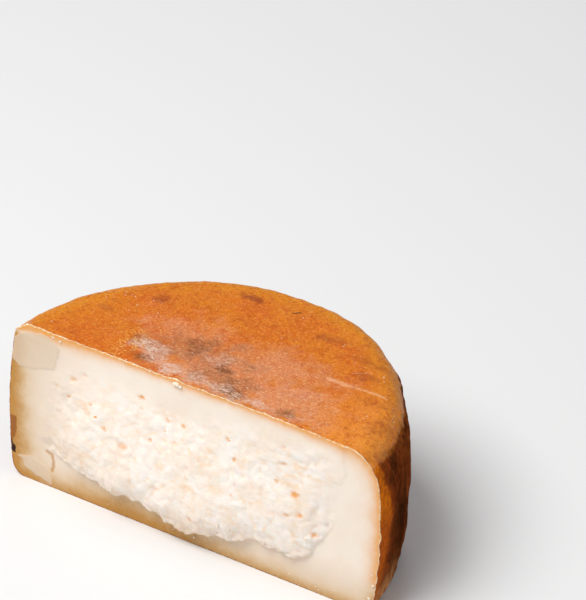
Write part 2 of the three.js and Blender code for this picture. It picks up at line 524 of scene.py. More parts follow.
def add_piece(name, spots, faces, material_numbers, materials, measures):
    """Makes a mesh object of the faces, smooth, with its materials and one attribute per measure."""
    mesh = bpy.data.meshes.new(name)
    mesh.from_pydata(spots.tolist(), [], faces)
    for material in materials:
        mesh.materials.append(material)
    mesh.polygons.foreach_set("material_index", material_numbers)
    mesh.polygons.foreach_set("use_smooth", np.ones(len(mesh.polygons), bool))
    for label, values in measures.items():
        mesh.attributes.new(label, "FLOAT", "POINT").data.foreach_set("value", values.astype(np.float32))
    mesh.update()
    piece = bpy.data.objects.new(name, mesh)
    bpy.context.scene.collection.objects.link(piece)
    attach(piece, BODY)
    return piece


# ---------------------------------------------------------------- the half wheel


# Marks on the top of the rind: place on it, half widths along and away from the cut, and strength.
MOULD = [
    (-17, 30, 9, 9, 0.9), (-12, 36, 6, 4, 0.7), (4, 20, 8, 4, 1.0), (11, 15, 5, 6, 0.8),
    (18, 7, 8, 5, 1.0), (47, 6, 4.5, 4.5, 0.9), (-34, 7, 8, 4, 0.9), (-42, 19, 5, 5, 0.5),
    (-10, 26, 22, 16, 0.5), (8, 12, 18, 11, 0.6), (-26, 22, 14, 12, 0.45),
]
BLOOM = [
    (-34, 16, 8, 6, 0.9), (-17, 6, 10, 6, 1.0), (-27, 11, 8, 6, 0.7), (4, 6, 14, 5, 0.8), (-4, 26, 8, 6, 0.5),
    (26, 5, 10, 5, 0.8), (50, 4, 5, 3, 0.3),
]
# The salmon zones are partly the rind's paler pink and partly painted sheen.
SALMON = [(0, 18, 40, 26, 1.0), (40, 14, 32, 18, 1.0), (-22, 34, 30, 18, 0.7), (24, 34, 30, 18, 0.8)]
GRANULES = [(-43, 9, 7, 14, 1.0), (-46, 22, 6, 6, 0.8)]
SMUDGES = [
    (-20, 79, 7, 3, 1.0), (-52, 53, 4, 3, 0.8), (32, 70, 8, 3, 0.6), (60, 52, 9, 3, 0.6),
    (52, 62, 12, 4, 0.5), (72, 36, 8, 3, 0.4), (-70, 32, 6, 3, 0.4), (84, 22, 5, 8, 0.5),
]
SCRATCHES = [((46, 41), (55, 41.3), 2.2), ((55, 41.3), (74, 43), 1.3), ((52, 51), (59, 56), 0.7)]
SHORT_CRACK = ((3.2, 77.6), (5.8, 80.6))
MARK_EDGE = (0.35, 1.25)  # a mark fades out between these shares of its half widths

# Width of the orange strip of the side beside the cut, at levels from the base up.
ORANGE_STRIP = np.array([(0, 1), (15, 4), (33, 10), (46, 13), (60, 12), (66, 8), (70, 6), (84, 9)])
SIDE_TOP = 5.6  # how far below the top the dark side begins

# Zones of the rind that come in or go out from one place to another, along the cut, back from it and
# up: the rim of the top, where a painted highlight lies, its right end, brightened by painted sheen,
# and the dark, low and high parts of the side.
NEAR_RIM = (0.74, 0.95)  # shares of the radius
RIGHT_END_ALONG, RIGHT_END_BACK = (40, 85), (15, 60)
DARK_SIDE_ALONG, DARK_SIDE_MIDDLE, DARK_SIDE_REACH = (0, 40), (27, 36), (13, 24)
LOW_SIDE_UP, LOW_SIDE_BACK, HIGH_SIDE_UP = (4, 22), (12, 40), (38, 64)

# Relief of the rind: width and height of what lies on top and of what runs up the side.
TOP_LUMPS, TOP_GRAIN = (26, 0.6), (6, 0.3)
SIDE_DENTS, SIDE_CREASES = (14, 0.9), (5, 0.5)
SIDE_STRETCH = 2.4  # the side's relief is higher than wide by this
TOP_RELIEF = (-9, -2)  # from-to levels against the top at which its relief comes in
SIDE_RELIEF = (0, 0.2)  # from-to shares of the way back from the cut at which the dents come in

# The edge of the cut: height and width of its waves, how far into the surfaces they reach, and how
# much of the waves and the burr the left end and the base have.
WAVE_HEIGHT, WAVE_WIDTH, WAVE_REACH, WAVE_END = 0.5, 6, 1.6, 6
PLAIN_EDGE = 0.3
BURR_WIDTH, BURR_FORWARD = 3.0, 0.9

# Numbers of the half wheel's materials. A face of the rind has the dull one where it lies more than
# the limit, in millimetres, under the border of the top.
PASTE, OILED_RIND, DULL_RIND = range(3)
SIDE_LIMIT = -0.3


def marks_on_top(x, y, marks, wobble):
    """0 to 1 inside soft ellipses whose edge distance is bent by the given noise."""
    total = np.zeros(len(x))
    for mark_x, mark_y, half_x, half_y, strength in marks:
        away = np.hypot((x - mark_x) / half_x, (y - mark_y) / half_y)
        total = np.maximum(total, strength * (1 - step(away + wobble, *MARK_EDGE)))
    return total


def rind_relief(wheel, spots, settings):
    """Height of the rind over the plain form: lumps and fine grain on top, dents and creases that
    run up the side. It dies away on the base."""
    broad, fine = Noise("broad rind"), Noise("fine rind")
    angle = np.arctan2(spots[:, 1], spots[:, 0])
    on_top = step(spots[:, 2] - wheel.height, *TOP_RELIEF)
    behind = step(np.sin(angle), *SIDE_RELIEF)
    (lump_width, lump_height), (grain_width, grain_height) = TOP_LUMPS, TOP_GRAIN
    top = lump_height * broad.layers(spots, lump_width, 2) + grain_height * fine.layers(spots, grain_width)
    upright = spots / (1, 1, SIDE_STRETCH)
    (dent_width, dent_height), (crease_width, crease_height) = SIDE_DENTS, SIDE_CREASES
    dents = -dent_height * (1 - broad.layers(upright, dent_width, 2)) * behind
    creases = crease_height * fine.layers(upright, crease_width) * mix(0.35, 1, behind)
    relief = mix(dents + creases, top, on_top)
    return settings.rind_height * relief * step(spots[:, 2], 0.5, 6)


def rind_marks(wheel, spots):
    """Measures that the rind's finish reads: where the top, its marks and the cut's edge are."""
    broad = Noise("rind marks")
    x, y, z = spots.T
    wobble = 0.45 * broad.layers(spots, 9, 4, 0.6)
    ragged = broad.layers(spots, 4, 3, 0.6)
    scratches = np.full(len(x), FAR)
    for start, end, width in SCRATCHES:
        scratches = np.minimum(scratches, line_distance(x, y, start, end) / width)
    strip = np.interp(z, ORANGE_STRIP[:, 0], ORANGE_STRIP[:, 1])
    reach = np.hypot(x, y) / wheel.radius
    back, up = y + 12 * wobble, z + 6 * wobble
    dark_side = step(x, *DARK_SIDE_ALONG)
    for place, middle, far in zip((y, z), DARK_SIDE_MIDDLE, DARK_SIDE_REACH):
        dark_side = dark_side * bell(place - middle, far)
    return {
        "over_side": z - (wheel.height - wheel.sag(x) - SIDE_TOP) + 1.1 * ragged,
        "near_rim": step(reach + 0.05 * wobble, *NEAR_RIM),
        "right_end": step(x, *RIGHT_END_ALONG) * (1 - step(back, *RIGHT_END_BACK)),
        "dark_side": dark_side,
        "low_side": (1 - step(up, *LOW_SIDE_UP)) * (1 - step(back, *LOW_SIDE_BACK)),
        "mould": marks_on_top(x, y, MOULD, 1.3 * wobble),
        "bloom": marks_on_top(x, y, BLOOM, 1.3 * wobble),
        "salmon": marks_on_top(x, y, SALMON, wobble),
        "granules": marks_on_top(x, y, GRANULES, wobble),
        "smudge": marks_on_top(x, y, SMUDGES, 1.3 * wobble),
        "scratch": scratches,
        "short_crack": line_distance(x, y, *SHORT_CRACK),
        "from_cut": y,
        "strip": strip - y + 1.2 * ragged,
        "high_side": step(up, *HIGH_SIDE_UP),
    }


def pale_edge(wheel, across, level):
    """1 along the top and the right end of the cut, where the rind's edge is pale, 0 elsewhere."""
    return step(np.maximum(across / wheel.radius, 2 * level / wheel.height - 1), 0.8, 0.95)


def margins(across, level, gap, wobble):
    """How strongly the tan and the peach margin colour the paste. Both fall off with the gap to the
    rind: tan at the left end and along the base, more of it under the lip as painted shade, and
    peach along the rest."""
    # Painted shade: under the lip, where its shadow falls, the tan reaches wider and higher and is stronger.
    lip_shade = bell(across - LIP_SHADE_MIDDLE, LIP_SHADE_REACH)
    left = step(-across, *LEFT_END) * (1 - step(level, *LEFT_END_TOP))
    right = step(across, *RIGHT_END)
    base = mix(0.75, 1, lip_shade) * (1 - step(level, 7 + 3 * lip_shade, 21 + 4 * lip_shade))
    low_left = left * step(level, *LOW_LEFT_IN) * (1 - step(level, *LOW_LEFT_OUT))
    is_tan = np.maximum(left, base)
    tan_width = mix(TAN_BASE + LIP_SHADE_WIDTH * lip_shade, TAN_LEFT, left)
    tan_width = mix(tan_width, TAN_LOW_LEFT, low_left) * wobble
    tan = np.exp(-((gap / tan_width) ** 1.3)) * is_tan
    ends = np.maximum(right, step(-across, *PEACH_LEFT_END))
    peach_width = mix(PEACH_TOP, PEACH_ENDS, ends) * wobble
    peach = np.exp(-((gap / peach_width) ** 1.2)) * (1 - is_tan) * mix(1, 0.85, right)
    return tan, peach


def cut_marks(face, across, level, rim):
    """Measures that the paste's relief and finish read: its margins, the torn paste, pits, flakes
    and damage. The outlines of the flakes and the damage are bent by noise."""
    broad = Noise("cut marks")
    spots = on_cut(across, level)
    wobble = 1 + 0.22 * broad.layers(spots, 11)
    ragged = broad.layers(spots, 3.2, 3, 0.6)
    gap = outline_distance(across, level, rim)
    tan, peach = margins(across, level, np.maximum(gap, 0), wobble)
    crack = np.full(len(across), FAR)
    for start, end in zip(CRACK, CRACK[1:]):
        crack = np.minimum(crack, line_distance(across + 0.5 * ragged, level, start, end))
    deep, pit_tint_and_shade = face.pits(across, level)
    flakes = np.maximum(
        outline_distance(across, level, FLAKE_TOP_LEFT),
        outline_distance(across, level, FLAKE_BASE_LEFT),
    )
    dull_left = step(-across - 6 * wobble, *DULL_LEFT_END)
    return {
        "tan": tan,
        "peach": peach,
        "dull": np.maximum(dull_left, 0.9 - 0.9 * step(level, *DULL_BASE)),
        "torn": face.torn(across, level),
        "pit": deep,
        "pit_tint_and_shade": pit_tint_and_shade,
        "flake": flakes + 0.5 * ragged,
        "right_flake": outline_distance(across, level, FLAKE_RIGHT) + 0.3 * ragged,
        "rind_gap": gap,
        "pale_edge": pale_edge(face.wheel, across, level),
        "crack": crack,
        "brown": outline_distance(across, level, BROWN_PATCH) + 0.6 * ragged,
        "chip": outline_distance(across, level, CHIP) + 0.6 * ragged,
    }


def raise_paste(face, spots, plain, cut, marks):
    """Raises the paste out of the cut: the mass and its crags, less the pits and the damage, and
    thin flakes on top. All of it dies away at the rind, and the lip hangs down."""
    proud, hang = face.mass(plain[cut, 0], plain[cut, 2])
    crag, crease = face.crags(plain[cut])
    # Where the creases lie, for the painted shade in them.
    marks["crease"] = crease * marks["torn"]
    inside = step(marks["rind_gap"], 0.3, 4)
    flake = step(marks["flake"], -0.4, 0.4) + step(marks.pop("right_flake"), -0.4, 0.4)
    damage = CRACK_DEPTH * (1 - step(marks["crack"], 0.2, 1.4)) + CHIP_DEPTH * step(marks["chip"], -0.5, 0.6)
    raised = (proud + crag * marks["torn"] - PIT_DEPTH * marks.pop("pit") - damage) * inside
    spots[cut, 1] -= raised + FLAKE_HEIGHT * flake * step(marks["rind_gap"], 0, 1)
    spots[cut, 2] -= hang * inside


def roughen_edge(wheel, spots, plain, normals, rim, away, burr_height):
    """Waves the edge of the cut in and out, with what lies near it, and raises a thin ragged burr
    of rind on it. The left end and the base have less of both."""
    edge = Noise("edge")
    share = mix(PLAIN_EDGE, 1, pale_edge(wheel, plain[rim, 0], plain[rim, 2]))
    waves = WAVE_HEIGHT * share * edge.layers(plain[rim], WAVE_WIDTH, 3, 0.7)
    near = np.flatnonzero(away < WAVE_END)
    closest = nearest_of(plain[near], plain[rim])
    pull = waves[closest] * np.exp(-away[near] / WAVE_REACH)
    spots[near] += pull[:, None] * normals[rim][closest] * (1, 0, 1)
    rough = share * np.clip(0.75 + 0.9 * edge.layers(spots[rim], BURR_WIDTH, 3, 0.7), 0, 2.2)
    spots[rim] += burr_height * rough[:, None] * (normals[rim] * (1, 0, 1) + (0, -BURR_FORWARD, 0))


def half_wheel(settings):
    """Builds the half wheel: a block's surface is bent into the wheel, the rows of its cut face
    follow the torn mass, and the relief of the rind and the paste is added."""
    wheel = Wheel(settings.diameter / MM, settings.height / MM)
    face = CutFace(wheel, settings)
    counts = (settings.steps_along, settings.steps_deep, settings.steps_up)
    numbers, grid = block_surface(counts)
    lines = [graded(count) for count in counts]
    block_x = 2 * lines[0][grid[:, 0]] - 1
    block_y = lines[1][grid[:, 1]]
    level = wheel.height * lines[2][grid[:, 2]]

    front = numbers[:, 0, :]
    level[front] = face.rows(2 * lines[0] - 1, wheel.height * lines[2])
    plain = wheel.place(block_x, block_y, level)

    front_quads = side_quads(front)
    base_quads, base_middle = base_faces(numbers[:, :, 0], BASE_MARGIN)
    rind_quads = np.concatenate([
        side_quads(numbers[:, -1, :].T),
        side_quads(numbers[-1]),
        side_quads(numbers[0].T),
        side_quads(numbers[:, :, -1]),
        base_quads,
    ])
    rim = np.concatenate([front[:-1, 0], front[-1, :-1], front[:0:-1, -1], front[0, :0:-1]])
    inner = np.zeros(len(plain), bool)
    inner[front[1:-1, 1:-1]] = True
    normals = outward(plain, rind_quads)
    relief = rind_relief(wheel, plain, settings)[:, None] * normals
    spots = np.where(inner[:, None], plain, plain + relief)

    cut = front.ravel()
    marks = cut_marks(face, plain[cut, 0], plain[cut, 2], plain[rim][:, ::2])
    raise_paste(face, spots, plain, cut, marks)
    away = plain[:, 1].copy()
    away[cut] = np.maximum(marks["rind_gap"], 0)
    roughen_edge(wheel, spots, plain, normals, rim, away, settings.burr_height / MM)
    spots[:, 2] = np.maximum(spots[:, 2], 0)

    measures = rind_marks(wheel, plain)
    for label, values in marks.items():
        measures[label] = np.zeros(len(spots))
        measures[label][cut] = values
    faces = front_quads.tolist() + rind_quads.tolist() + [base_middle.tolist()]
    on_side = measures["over_side"][rind_quads].max(1) < SIDE_LIMIT
    material_numbers = np.concatenate([
        np.full(len(front_quads), PASTE),
        np.where(on_side, DULL_RIND, OILED_RIND),
        [DULL_RIND],
    ])
    materials = [
        paste_material(settings),
        rind_material(settings, "oiled_rind", 0.15),
        rind_material(settings, "dull_side_rind", 0),
    ]
    piece = add_piece("half_wheel", to_frame(spots), faces, material_numbers, materials, measures)
    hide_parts(NODE)
    return piece


# ---------------------------------------------------------------- the crumbs


# Crumbs that show singly: place on the cut, level and half width.
LONE_CRUMBS = np.array([
    (-8.5, 82, 1.6), (-6.5, 81.5, 1.2), (-23, 83, 0.6), (3, 4, 0.8), (-76, 82, 0.6), (-72, 81, 0.7),
    (97, 21, 0.6), (98, 16, 0.8), (97, 13, 0.7), (96, 8, 0.8),
])

# Ranges of the small crumbs on the lip, on the top edge and low on the cut: places across and half
# widths, heights above the lip, and levels low on the cut.
LIP_ACROSS, EDGE_ACROSS, LOW_ACROSS = (-72, 64), (-80, 84), (-60, 80)
LIP_WIDTHS, EDGE_WIDTHS, LOW_WIDTHS = (0.4, 0.8), (0.25, 0.5), (0.2, 0.4)
ABOVE_LIP, LOW_LEVELS = (1, 8), (2, 7)
UNDER_TOP_EDGE = 0.3
CRUMB_RINGS, CRUMB_SEGMENTS = 8, 12
CRUMB_SQUEEZE = (0.5, 1.3)
CRUMB_SUNK = 0.3  # how far its middle lies behind the surface, as a share of its half width
CRUMB_ROUGHNESS, CRUMB_ROUGH_WIDTH = 0.55, 0.8


def ball(rings, segments):
    """Places and faces of a unit ball: rings of points between two poles."""
    tilts = np.pi * np.arange(1, rings) / rings
    turns = 2 * np.pi * np.arange(segments) / segments
    tilt, turn = np.meshgrid(tilts, turns, indexing="ij")
    belt = np.stack([np.sin(tilt) * np.cos(turn), np.sin(tilt) * np.sin(turn), np.cos(tilt)], -1)
    numbers = np.arange(tilt.size).reshape(tilt.shape)
    after = np.roll(numbers, -1, axis=1)
    quads = np.stack([numbers[:-1], numbers[1:], after[1:], after[:-1]], -1).reshape(-1, 4)
    top = np.stack([np.full(segments, tilt.size), numbers[0], after[0]], 1)
    low = np.stack([np.full(segments, tilt.size + 1), after[-1], numbers[-1]], 1)
    return np.concatenate([belt.reshape(-1, 3), [(0, 0, 1), (0, 0, -1)]]), quads, np.concatenate([top, low])


def crumb_places(wheel, face, count):
    """Place, level and half width of each crumb: half of them on the lip, a quarter on the top edge
    of the cut and a quarter low on it, and the lone ones."""
    random = np.random.default_rng(SEEDS["crumb places"])
    on_lip, on_edge, low = count // 2, count // 4, count // 4
    lip_across = random.uniform(*LIP_ACROSS, on_lip)
    lip_level = face.lip(lip_across)[0] + random.uniform(*ABOVE_LIP, on_lip)
    edge_across = random.uniform(*EDGE_ACROSS, on_edge)
    edge_level = wheel.height - UNDER_TOP_EDGE - wheel.sag(edge_across)
    low_across = random.uniform(*LOW_ACROSS, low)
    low_level = random.uniform(*LOW_LEVELS, low)
    lip_width = random.uniform(*LIP_WIDTHS, on_lip)
    edge_width = random.uniform(*EDGE_WIDTHS, on_edge)
    low_width = random.uniform(*LOW_WIDTHS, low)
    return np.concatenate([
        np.stack([lip_across, lip_level, lip_width], 1),
        np.stack([edge_across, edge_level, edge_width], 1),
        np.stack([low_across, low_level, low_width], 1),
        LONE_CRUMBS,
    ])


def crumbs(settings):
    """Crumbs of paste lying on the cut: balls squeezed and roughened by noise, each set where the
    formulas of the torn mass put the surface."""
    wheel = Wheel(settings.diameter / MM, settings.height / MM)
    face = CutFace(wheel, settings)
    across, level, width = crumb_places(wheel, face, settings.crumb_count).T
    proud, hang = face.mass(across, level)
    crag, _ = face.crags(on_cut(across, level))
    raised = proud + crag * face.torn(across, level)
    middles = np.stack([across, CRUMB_SUNK * width - raised, level - hang], 1)
    shape, quads, fans = ball(CRUMB_RINGS, CRUMB_SEGMENTS)
    random = np.random.default_rng(SEEDS["crumb shapes"])
    squeeze = random.uniform(*CRUMB_SQUEEZE, (len(width), 1, 3))
    spots = middles[:, None] + shape * squeeze * width[:, None, None]
    rough = Noise("crumb roughness").layers(spots.reshape(-1, 3), CRUMB_ROUGH_WIDTH, 2)
    spots += CRUMB_ROUGHNESS * rough.reshape(len(width), -1, 1) * shape * width[:, None, None]
    shift = len(shape) * np.arange(len(width))[:, None, None]
    faces = (quads + shift).reshape(-1, 4).tolist() + (fans + shift).reshape(-1, 3).tolist()
    add_piece(
        "paste_crumbs", to_frame(spots.reshape(-1, 3)), faces, np.zeros(len(faces), int),
        [crumb_material(settings)], {},
    )


# ---------------------------------------------------------------- finishes


def srgb(*levels):
    """A colour given as it looks on a screen, 0 to 255, as the linear values that shaders take."""
    shares = [level / 255 for level in levels]
    return tuple(share / 12.92 if share <= 0.04045 else ((share + 0.055) / 1.055) ** 2.4 for share in shares)


class Recipe:
    """Short calls that build one material's nodes."""

    def __init__(self, name):
        self.material = bpy.data.materials.new(name)
        self.material.use_nodes = True
        self.tree = self.material.node_tree
        self.tree.nodes.clear()
        self.place = self.add("ShaderNodeTexCoord").outputs["Object"]

    def add(self, kind, inputs=None, **settings):
        """Adds a node, with its settings and with numbers or links for its inputs."""
        node = self.tree.nodes.new(kind)
        for label, value in settings.items():
            setattr(node, label, value)
        for label, value in (inputs or {}).items():
            self.feed(node.inputs[label], value)
        return node

    def feed(self, socket, value):
        """Links another node's output to a socket, or sets the socket to a number or a colour."""
        if isinstance(value, bpy.types.NodeSocket):
            self.tree.links.new(value, socket)
        elif socket.type == "RGBA":
            socket.default_value = (*value, 1)
        else:
            socket.default_value = value

    def measure(self, label):
        """One of the mesh's own measures."""
        return self.add("ShaderNodeAttribute", attribute_name=label).outputs["Fac"]

    def noise(self, per_metre, detail=4, roughness=0.55, stretch=None, distortion=0.0):
        """Noise 0 to 1 in the object's own space, stretched if asked."""
        place = self.place
        if stretch:
            place = self.add("ShaderNodeMapping", {"Vector": place, "Scale": stretch}).outputs[0]
        inputs = {"Vector": place, "Scale": per_metre, "Detail": detail, "Roughness": roughness}
        return self.add("ShaderNodeTexNoise", {**inputs, "Distortion": distortion}).outputs["Fac"]

    def grains(self, per_metre):
        """Distance to scattered spots, for grains and glints."""
        inputs = {"Vector": self.place, "Scale": per_metre, "Randomness": 1.0}
        return self.add("ShaderNodeTexVoronoi", inputs).outputs["Distance"]

    def span(self, value, low, high, to_low=0.0, to_high=1.0):
        """Maps low..high smoothly to to_low..to_high."""
        inputs = {"Value": value, "From Min": low, "From Max": high, "To Min": to_low, "To Max": to_high}
        return self.add("ShaderNodeMapRange", inputs, interpolation_type="SMOOTHSTEP").outputs["Result"]

    def math(self, operation, a, b):
        """The result of an operation on two numbers."""
        node = self.add("ShaderNodeMath", operation=operation)
        self.feed(node.inputs[0], a)
        self.feed(node.inputs[1], b)
        return node.outputs[0]

    def times(self, a, b):
        """The product of two numbers."""
        return self.math("MULTIPLY", a, b)

    def plus(self, a, b):
        """The sum of two numbers."""
        return self.math("ADD", a, b)

    def blend(self, share, a, b):
        """Colour a, going to b as share goes to 1."""
        node = self.add("ShaderNodeMix", data_type="RGBA", clamp_factor=True)
        self.feed(node.inputs["Factor"], share)
        self.feed(node.inputs[6], a)
        self.feed(node.inputs[7], b)
        return node.outputs[2]

    def bump(self, height, distance, strength, over=None):
        """A bump that follows a height of 0 to 1 over a distance in metres, on top of another."""
        node = self.add("ShaderNodeBump", {"Height": height, "Distance": distance, "Strength": strength})
        if over is not None:
            self.feed(node.inputs["Normal"], over)
        return node.outputs["Normal"]

    def finish(self, inputs):
        """Adds the surface shader and the output."""
        shader = self.add("ShaderNodeBsdfPrincipled", inputs)
        output = self.add("ShaderNodeOutputMaterial")
        self.tree.links.new(shader.outputs[0], output.inputs["Surface"])
        return self.material


def paste_ground(r, torn, wisps, settings):
    """Ivory, whiter where torn, with creamy clouds, painted peach shade in creases, and peach
    patches and specks.
    """
    colour = r.blend(torn, settings.paste_cut, settings.paste_torn)
    cloud = r.noise(60, 3)
    colour = r.blend(r.span(cloud, 0.4, 0.7, 0, 0.6), colour, settings.paste_cream)
    # Painted shade: warm peach darkening laid into the creases of the torn paste.
    creases = r.times(r.measure("crease"), r.span(wisps, 0.42, 0.6))
    colour = r.blend(r.times(creases, 0.5), colour, settings.peach_and_crease_shade)
    patches = r.noise(130, 4, 0.6, distortion=0.4)
    colour = r.blend(r.times(r.span(patches, 0.45, 0.75, 0, 0.3), torn), colour, settings.peach_and_crease_shade)
    specks = r.times(r.span(wisps, 0.6, 0.74), r.times(torn, r.span(patches, 0.4, 0.6, 0.3, 1.0)))
    return r.blend(r.times(specks, 0.5), colour, settings.peach_and_crease_shade)


def paste_margins(r, mottle, settings, colour):
    """Duller at the left end and low down, and peach or tan towards the rind."""
    colour = r.blend(r.times(r.measure("dull"), 0.8), colour, settings.paste_dull)
    uneven = r.span(mottle, 0.2, 0.8, 0.9, 1.1)
    peach = r.times(r.measure("peach"), uneven)
    colour = r.blend(r.span(peach, 0.0, 1.0), colour, settings.paste_margin_warm)
    tan = r.times(r.measure("tan"), uneven)
    colour = r.blend(r.span(tan, 0.0, 0.7), colour, settings.paste_margin_light)
    return r.blend(r.span(tan, 0.35, 0.95), colour, settings.paste_margin)


def paste_damage(r, mottle, flake, settings, colour):
    """The brown patch, the crack, the flakes, the pits with their tan and painted shade, and the chip."""
    colour = r.blend(r.span(r.measure("brown"), -0.3, 0.6), colour, settings.paste_brown)
    crack = r.span(r.plus(r.measure("crack"), mottle), 1.9, 0.7)
    colour = r.blend(r.times(crack, 0.7), colour, settings.paste_margin)
    colour = r.blend(r.times(flake, 0.7), colour, settings.paste_flake)
    # The pits: partly their own tan, partly painted warm shade in their hollows.
    colour = r.blend(r.span(r.measure("pit_tint_and_shade"), 0.1, 1.0), colour, settings.pit_tan_and_shade)
    return r.blend(r.span(r.measure("chip"), -0.1, 0.5), colour, settings.rind_dark)


def paste_skin(r, grain, settings, colour):
    """A thin broken line of rind around the cut, pale along the top and the right end."""
    gap = r.plus(r.measure("rind_gap"), r.times(grain, 0.7))
    skin = r.times(r.span(gap, 0.85, 0.5), r.span(r.noise(700, 2), 0.42, 0.58, 0.1, 1.0))
    edge = r.blend(r.measure("pale_edge"), settings.rind_brown, settings.burr)
    return r.blend(skin, colour, edge)


def paste_material(settings):
    """Ivory paste: peach in its creases and pits, darker towards the rind, whiter where torn."""
    r = Recipe("aged_paste")
    torn = r.measure("torn")
    mottle = r.noise(420, 4, 0.6)
    grain = r.noise(1500, 3, 0.6)
    wisps = r.noise(280, 6, 0.68, stretch=(0.8, 1, 1.1), distortion=0.3)
    flake = r.span(r.plus(r.measure("flake"), r.times(mottle, 0.8)), 0.2, 0.6)
    colour = paste_ground(r, torn, wisps, settings)
    colour = paste_margins(r, mottle, settings, colour)
    colour = paste_damage(r, mottle, flake, settings, colour)
    colour = paste_skin(r, grain, settings, colour)

    rough = r.span(torn, 0, 1, 0.5, 0.75)
    relief = r.bump(grain, 0.0003, 0.4)
    relief = r.bump(flake, 0.0002, 0.3, relief)
    soft = r.plus(r.times(mottle, r.span(torn, 0, 1, 0.1, 1.0)), r.times(wisps, r.times(torn, 0.5)))
    relief = r.bump(soft, 0.0008, 0.35, relief)
    return r.finish({
        "Base Color": colour, "Roughness": rough, "Normal": relief, "Specular IOR Level": 0.2,
        "Subsurface Weight": 0.35, "Subsurface Radius": (1.0, 0.75, 0.5), "Subsurface Scale": 0.002,
    })


def crumb_material(settings):
    """Pale loose paste."""
    r = Recipe("loose_paste")
    colour = r.blend(r.span(r.noise(900, 3), 0.4, 0.7), settings.paste_cream, settings.paste_dull)
    return r.finish({
        "Base Color": colour, "Roughness": 0.6, "Specular IOR Level": 0.3,
        "Subsurface Weight": 0.3, "Subsurface Radius": (1.0, 0.75, 0.5), "Subsurface Scale": 0.001,
    })


def top_ground(r, cloud, blotch, mottle, grain, settings):
    """Orange, golden near the rim with a painted highlight, salmon with painted sheen in one zone and
    amber painted sheen at the right end. Red mottling and pale speckles, partly painted highlights,
    lie over all of it, weaker in the salmon zone."""
    top = r.blend(r.span(cloud, 0.35, 0.65), settings.rind_orange, settings.rind_deep_orange)
    # Golden near the rim: partly the rind's own tone, partly a painted highlight on the rounded edge.
    near_rim = r.times(r.measure("near_rim"), r.span(blotch, 0.3, 0.6, 0.4, 1.0))
    top = r.blend(near_rim, top, settings.gold_and_rim_highlight)
    # Salmon zone: partly paler rind, partly painted sheen.
    salmon = r.times(r.measure("salmon"), r.span(blotch, 0.3, 0.7, 0.65, 1.0))
    top = r.blend(r.times(salmon, 0.95), top, settings.salmon_and_sheen)
    # Painted sheen: the right end of the top is brightened to amber.
    top = r.blend(r.times(r.measure("right_end"), 0.95), top, settings.amber_sheen)
    calm = r.span(salmon, 0, 1, 1, 0.55)
    top = r.blend(r.times(r.span(blotch, 0.5, 0.68, 0, 0.55), calm), top, settings.rind_red)
    top = r.blend(r.times(r.span(mottle, 0.5, 0.64, 0, 0.65), calm), top, settings.rind_red)
    # Speckles of the grain: partly its own pale flecks, partly painted highlights.
    speckles = r.times(r.span(grain, 0.48, 0.66), r.span(salmon, 0, 1, 0.6, 0.8))
    return r.blend(speckles, top, r.blend(salmon, settings.grain_highlight, settings.rind_pale))


def top_marks(r, fibres, mottle, scratch, settings, top):
    """Mould and bloom in fibrous patches, granules, smudges, scratches and the short crack."""
    mould = r.times(r.measure("mould"), r.span(fibres, 0.38, 0.56, 0.25, 1.0))
    top = r.blend(r.times(mould, 0.9), top, settings.mould)
    bloom = r.times(r.measure("bloom"), r.span(fibres, 0.56, 0.42, 0.15, 1.0))
    top = r.blend(r.times(bloom, 0.9), top, settings.bloom)
    granules = r.times(r.measure("granules"), r.span(r.grains(650), 0.42, 0.25))
    top = r.blend(r.times(granules, 0.8), top, settings.granules)
    smudge = r.times(r.measure("smudge"), r.span(mottle, 0.3, 0.6, 0.3, 0.9))
    top = r.blend(smudge, top, settings.rind_smudge)
    top = r.blend(r.times(scratch, 0.5), top, settings.rind_pale)
    crack = r.span(r.plus(r.measure("short_crack"), mottle), 1.2, 0.8)
    return r.blend(crack, top, settings.rind_dark)


def side_colour(r, cloud, blotch, mottle, streaks, settings):
    """Brown with light and dark clouds and streaks, a dark patch and a paler one near the base, and
    orange beside the cut, brightest high up."""
    side = r.blend(r.span(cloud, 0.42, 0.64, 0, 0.5), settings.rind_brown, settings.rind_umber)
    side = r.blend(r.span(r.plus(blotch, streaks), 0.86, 1.2, 0, 0.85), side, settings.rind_dark)
    side = r.blend(r.span(streaks, 0.56, 0.7, 0, 0.6), side, settings.rind_umber)
    side = r.blend(r.span(mottle, 0.5, 0.7, 0, 0.4), side, settings.rind_dark)
    side = r.blend(r.times(r.measure("dark_side"), 0.9), side, settings.rind_dark)
    low_side = r.times(r.measure("low_side"), r.span(streaks, 0.42, 0.58, 0.3, 1.0))
    side = r.blend(low_side, side, settings.rind_low)
    strip = r.span(r.plus(r.measure("strip"), r.times(blotch, 9)), 0.2, 10.5)
    side = r.blend(r.times(strip, r.span(mottle, 0.42, 0.62, 1, 0.5)), side, settings.rind_side_red)
    near_cut = r.times(r.span(strip, 0.4, 0.9), r.span(mottle, 0.35, 0.65, 1, 0.4))
    bright = r.span(r.measure("high_side"), 0, 1, 0.2, 1)
    patchy = r.span(blotch, 0.48, 0.66, 1, 0.6)
    return r.blend(r.times(near_cut, r.times(bright, patchy)), side, settings.rind_side_orange)


